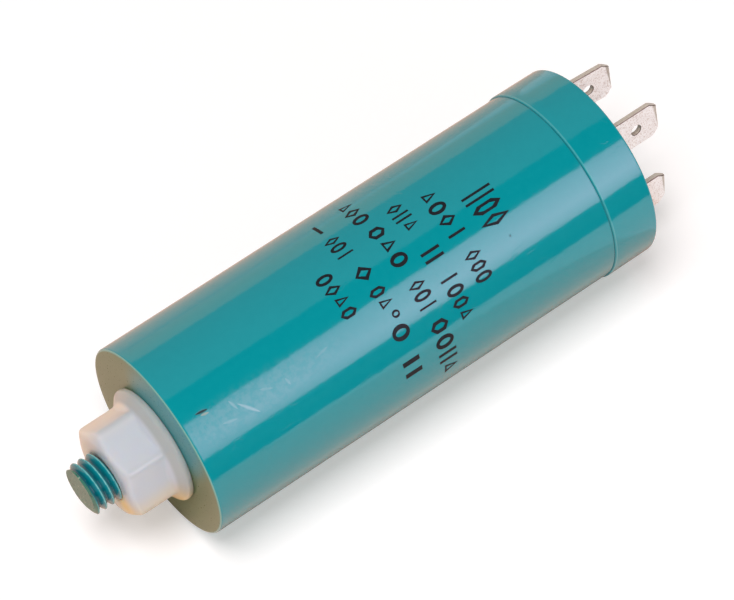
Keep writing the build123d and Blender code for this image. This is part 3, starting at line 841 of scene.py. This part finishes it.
def print_places(name, material):
    """A vertex for each shape, laid out flat as (x, arc), that keeps its size and its kind."""
    piece = grow_mesh(name, material)
    places, talls, wides, kinds = [], [], [], []
    for low, height, start, end, words in PRINT_RUNS:
        run = words.split()
        step = math.radians(end - start) * BODY_RADIUS / len(run)
        for i, shape in enumerate(run):
            arc = math.radians(start) * BODY_RADIUS + step * (i + 0.5)
            places.append(((low + height / 2) * MM, arc * MM, 0))
            talls.append(height * MM)
            wides.append(step * INK_FILL * MM)
            kinds.append(SHAPES.index(shape))
    piece.data.from_pydata(places, [], [])
    for label, kind, values in (("tall", "FLOAT", talls), ("wide", "FLOAT", wides), ("kind", "INT", kinds)):
        piece.data.attributes.new(label, kind, "POINT").data.foreach_set("value", values)
    return piece


printing, given, made = new_group("print_shapes", {
    "Geometry": GEOMETRY, "Radius": NUMBER, "Stroke": NUMBER, "Lift": NUMBER, "Material": MATERIAL},
    {"Geometry": GEOMETRY}, "GeometryNodeTree")


def joined(*sockets):
    node = printing.nodes.new("GeometryNodeJoinGeometry")
    for socket in reversed(sockets):
        printing.links.new(socket, node.inputs[0])
    return node.outputs[0]


def moved_curve(curve, shift=(0, 0, 0), size=(1, 1, 1)):
    return add_node(printing, "GeometryNodeTransform", {"Geometry": curve, "Translation": shift,
                                                        "Scale": size}).outputs[0]


def inked(curve):
    """Fills a closed unit outline and gives the ink its thickness, as an instance to pick."""
    fill = add_node(printing, "GeometryNodeFillCurve", {"Curve": curve}, mode="TRIANGLES").outputs[0]
    fine = add_node(printing, "GeometryNodeSubdivideMesh", {"Mesh": fill, "Level": 2}).outputs[0]
    top = add_node(printing, "GeometryNodeExtrudeMesh", {
        "Mesh": fine, "Offset Scale": 1.0, "Individual": False}, mode="FACES").outputs[0]
    foot = add_node(printing, "GeometryNodeFlipFaces", {"Mesh": fine}).outputs[0]
    solid = add_node(printing, "GeometryNodeMergeByDistance", {
        "Geometry": joined(top, foot), "Distance": 1e-4})
    return add_node(printing, "GeometryNodeGeometryToInstance", {0: solid.outputs[0]}).outputs[0]


def box_outline(height):
    return add_node(printing, "GeometryNodeCurvePrimitiveQuadrilateral", {
        "Width": 1.0, "Height": height}).outputs[0]


# Outlines are one unit across and come in the order of SHAPES, from the ring on; the inner line
# of an open shape is drawn in by the stroke.
shapes = []
inner_x, inner_y = [
    maths(printing, "SUBTRACT", 1.0, maths(printing, "MULTIPLY", given.outputs["Stroke"], strokes))
    for strokes in INNER_LOSS]
inner_size = add_node(printing, "ShaderNodeCombineXYZ", {0: inner_x, 1: inner_y, 2: 1.0}).outputs[0]
for sides in (24, 3, 4, 6):
    outer = add_node(printing, "GeometryNodeCurvePrimitiveCircle", {
        "Resolution": sides, "Radius": 0.5}).outputs[0]
    shapes.append(inked(joined(outer, moved_curve(outer, size=inner_size))))
bar = box_outline(BAR_HEIGHT)
shapes.append(inked(bar))
shapes.append(inked(joined(moved_curve(bar, shift=(0, -TWIN_SHIFT, 0)),
                           moved_curve(bar, shift=(0, TWIN_SHIFT, 0)))))
shapes.append(inked(box_outline(1.0)))

kept = {name: add_node(printing, "GeometryNodeInputNamedAttribute", {"Name": name},
                       data_type=kind).outputs[0]
        for name, kind in (("tall", "FLOAT"), ("wide", "FLOAT"), ("kind", "INT"))}
size = add_node(printing, "ShaderNodeCombineXYZ", {0: kept["tall"], 1: kept["wide"],
                                                   2: given.outputs["Lift"]})
laid = add_node(printing, "GeometryNodeInstanceOnPoints", {
    "Points": given.outputs["Geometry"], "Instance": joined(*shapes), "Pick Instance": True,
    "Instance Index": kept["kind"], "Scale": size.outputs[0]})
flat = add_node(printing, "GeometryNodeRealizeInstances", {"Geometry": laid.outputs[0]})
# The flat layout is then wrapped round the can, which mirrors it, so its faces are turned back.
x, arc, up = add_node(printing, "ShaderNodeSeparateXYZ", {
    0: add_node(printing, "GeometryNodeInputPosition").outputs[0]}).outputs
turn = maths(printing, "DIVIDE", arc, given.outputs["Radius"])
reach = maths(printing, "ADD", given.outputs["Radius"], up)
round_can = add_node(printing, "ShaderNodeCombineXYZ", {
    0: x, 1: maths(printing, "MULTIPLY", reach, maths(printing, "COSINE", turn)),
    2: maths(printing, "MULTIPLY", reach, maths(printing, "SINE", turn))})
wrapped = add_node(printing, "GeometryNodeSetPosition", {"Geometry": flat.outputs[0],
                                                         "Position": round_can.outputs[0]})
outward = add_node(printing, "GeometryNodeFlipFaces", {"Mesh": wrapped.outputs[0]})
dressed = add_node(printing, "GeometryNodeSetMaterial", {"Geometry": outward.outputs[0],
                                                         "Material": given.outputs["Material"]})
printing.links.new(dressed.outputs[0], made.inputs[0])
marks = print_places("rating_print", ink)
run_tree(marks, printing, {"Radius": BODY_RADIUS * MM, "Stroke": STROKE, "Lift": INK_LIFT * MM,
                           "Material": ink})
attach(marks, "root")


# ---- Inside the can ------------------------------------------------------------------------
# Sealed parts that no one sees: lugs, leads and solder, the wound film element between its
# sprayed ends, the slotted pad below it and the resin poured over it.

def plain(name, first, second, scale, roughness, metallic=0.0):
    """A two-tone cloudy finish for a hidden part."""
    material, tree = empty_material(name)
    where = add_node(tree, "ShaderNodeTexCoord").outputs["Object"]
    cloud = noise(tree, where, scale, detail=5.0)
    show(tree, add_node(tree, "ShaderNodeBsdfPrincipled", {
        "Base Color": mixed(tree, cloud, first, second), "Roughness": roughness, "Metallic": metallic,
        "Normal": bumped(tree, cloud, strength=0.2, distance=0.0001)}))
    return material


hidden = {
    "lead_a": plain("black_lead_cover", (0.012, 0.012, 0.014, 1), (0.03, 0.03, 0.032, 1),
                    scale=400.0, roughness=0.5),
    "solder_joints": plain("dull_solder", (0.42, 0.42, 0.43, 1), (0.6, 0.6, 0.61, 1),
                           scale=900.0, roughness=0.35, metallic=1.0),
    "base_pad": plain("pressed_board", (0.30, 0.20, 0.09, 1), (0.42, 0.30, 0.15, 1),
                      scale=700.0, roughness=0.85),
    "winding_core": plain("core_moulding", (0.55, 0.53, 0.47, 1), (0.62, 0.6, 0.54, 1),
                          scale=200.0, roughness=0.5),
    "film_winding": plain("wound_film", (0.38, 0.38, 0.41, 1), (0.5, 0.5, 0.53, 1),
                          scale=300.0, roughness=0.25, metallic=0.6),
    "lower_end_spray": plain("sprayed_zinc", (0.2, 0.2, 0.22, 1), (0.4, 0.4, 0.42, 1),
                             scale=1600.0, roughness=0.7, metallic=0.7),
    "potting_resin": plain("dark_resin", (0.008, 0.007, 0.006, 1), (0.02, 0.017, 0.013, 1),
                           scale=60.0, roughness=0.25),
}
hidden["lead_b"] = hidden["lead_a"]
hidden["upper_end_spray"] = hidden["lower_end_spray"]
hidden["inner_lug_a"] = hidden["inner_lug_b"] = blade_tin
for node, material in hidden.items():
    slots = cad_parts[node].data.materials
    slots.clear()
    slots.append(material)
